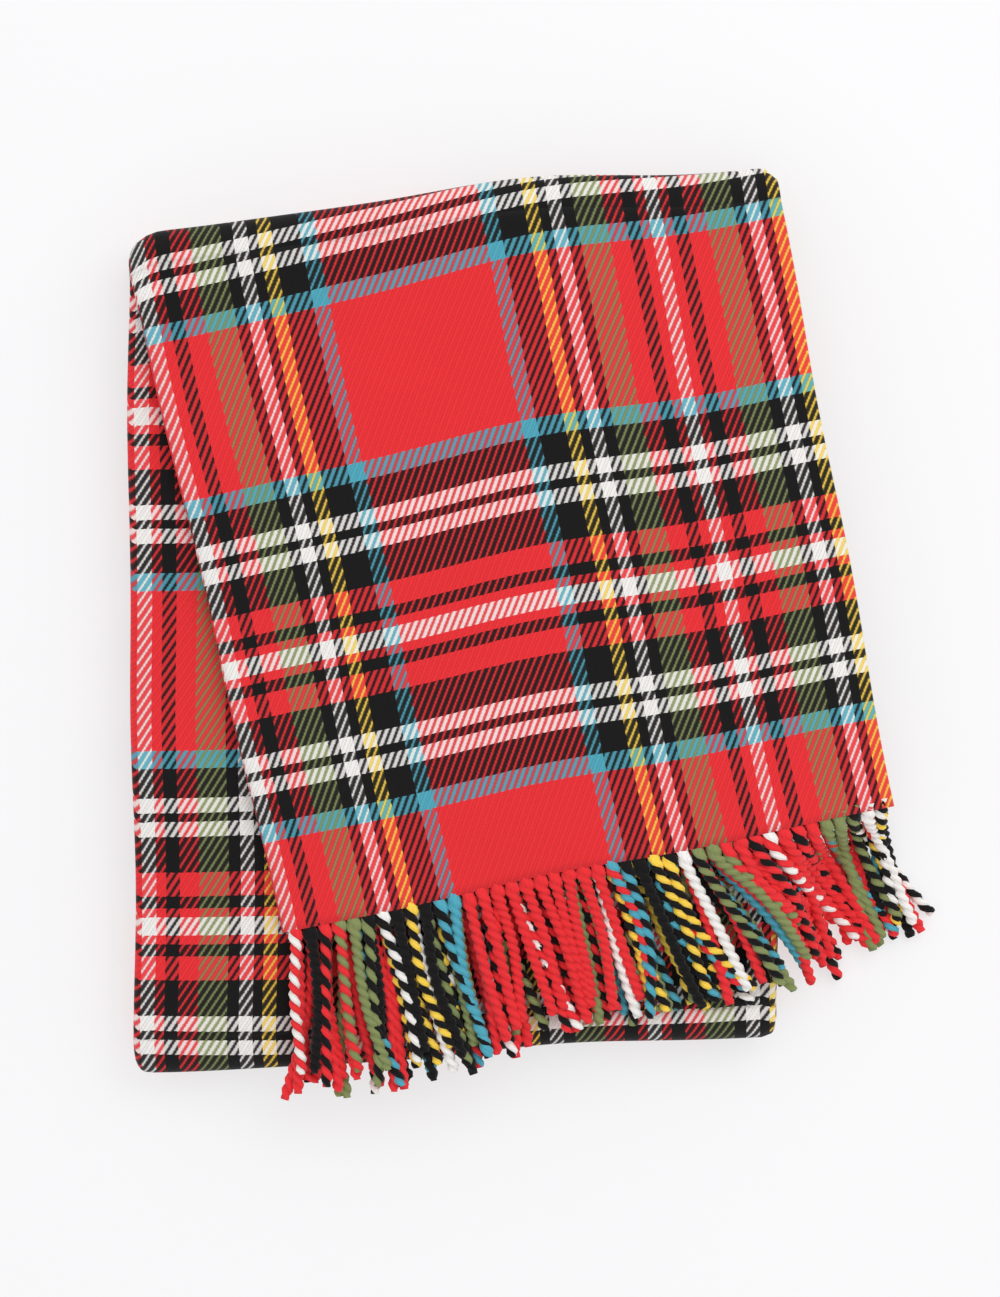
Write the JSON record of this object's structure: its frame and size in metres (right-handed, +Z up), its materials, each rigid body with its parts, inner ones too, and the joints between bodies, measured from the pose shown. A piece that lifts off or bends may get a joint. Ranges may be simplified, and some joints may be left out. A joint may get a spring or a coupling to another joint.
{
  "type": "folded throw blanket",
  "caption": "Woven tartan throw blanket folded into a flat pile, with its end turned askew over the top and a twisted fringe along its hem.",
  "frame": {"origin": "under the middle of the bounding box, on the surface that the pile lies on", "axes": "+Z up from that surface; +Y towards the top fold; +X to the side over which the flap leans"},
  "size_m": [0.403, 0.4648, 0.0389],
  "materials": {
    "tartan_cloth": "brushed 2/2 twill in a red tartan",
    "fringe_yarn": "two-ply twisted wool cords"
  },
  "bodies": {
    "pile": {"base_cloth": "tartan_cloth", "lower_cloth": "tartan_cloth", "rear_fold": "tartan_cloth", "rear_tassels_bottom": "fringe_yarn", "rear_tassels_third": "fringe_yarn", "rear_tassels_second": "fringe_yarn", "rear_tassels_top": "fringe_yarn"},
    "upper": {"upper_cloth": "tartan_cloth", "bottom_fold": "tartan_cloth"},
    "flap": {"flap_cloth": "tartan_cloth", "top_fold": "tartan_cloth"},
    "lock_left": {"tassels_left_bottom": "fringe_yarn", "tassels_left_third": "fringe_yarn", "tassels_left_second": "fringe_yarn", "tassels_left_top": "fringe_yarn"},
    "lock_red": {"tassels_red_bottom": "fringe_yarn", "tassels_red_third": "fringe_yarn", "tassels_red_second": "fringe_yarn", "tassels_red_top": "fringe_yarn"},
    "lock_right": {"tassels_right_bottom": "fringe_yarn", "tassels_right_third": "fringe_yarn", "tassels_right_second": "fringe_yarn", "tassels_right_top": "fringe_yarn"},
    "lock_corner": {"tassels_corner_bottom": "fringe_yarn", "tassels_corner_third": "fringe_yarn", "tassels_corner_second": "fringe_yarn", "tassels_corner_top": "fringe_yarn"}
  },
  "joints": [
    {"name": "bottom_fold_open", "type": "hinge", "parent": "pile", "child": "upper", "pos_m": [-0.03881, -0.2143, 0.01945], "axis": [0.9985, 0.0541, 0], "range_deg": [0, 180], "deforming": ["bottom_fold"]},
    {"name": "top_fold_open", "type": "hinge", "parent": "upper", "child": "flap", "pos_m": [-0.03881, 0.2162, 0.02945], "axis": [-0.9949, -0.1011, 0], "range_deg": [0, 180], "deforming": ["top_fold"]},
    {"name": "lock_left_lift", "type": "hinge", "parent": "flap", "child": "lock_left", "pos_m": [0.03016, -0.11979, 0.0389], "axis": [-0.9796, -0.2011, 0], "range_deg": [0, 70]},
    {"name": "lock_red_lift", "type": "hinge", "parent": "flap", "child": "lock_red", "pos_m": [0.03016, -0.11979, 0.0389], "axis": [-0.9796, -0.2011, 0], "range_deg": [0, 70]},
    {"name": "lock_right_lift", "type": "hinge", "parent": "flap", "child": "lock_right", "pos_m": [0.03016, -0.11979, 0.0389], "axis": [-0.9796, -0.2011, 0], "range_deg": [0, 70]},
    {"name": "lock_corner_lift", "type": "hinge", "parent": "flap", "child": "lock_corner", "pos_m": [0.03016, -0.11979, 0.0389], "axis": [-0.9796, -0.2011, 0], "range_deg": [0, 70]}
  ]
}
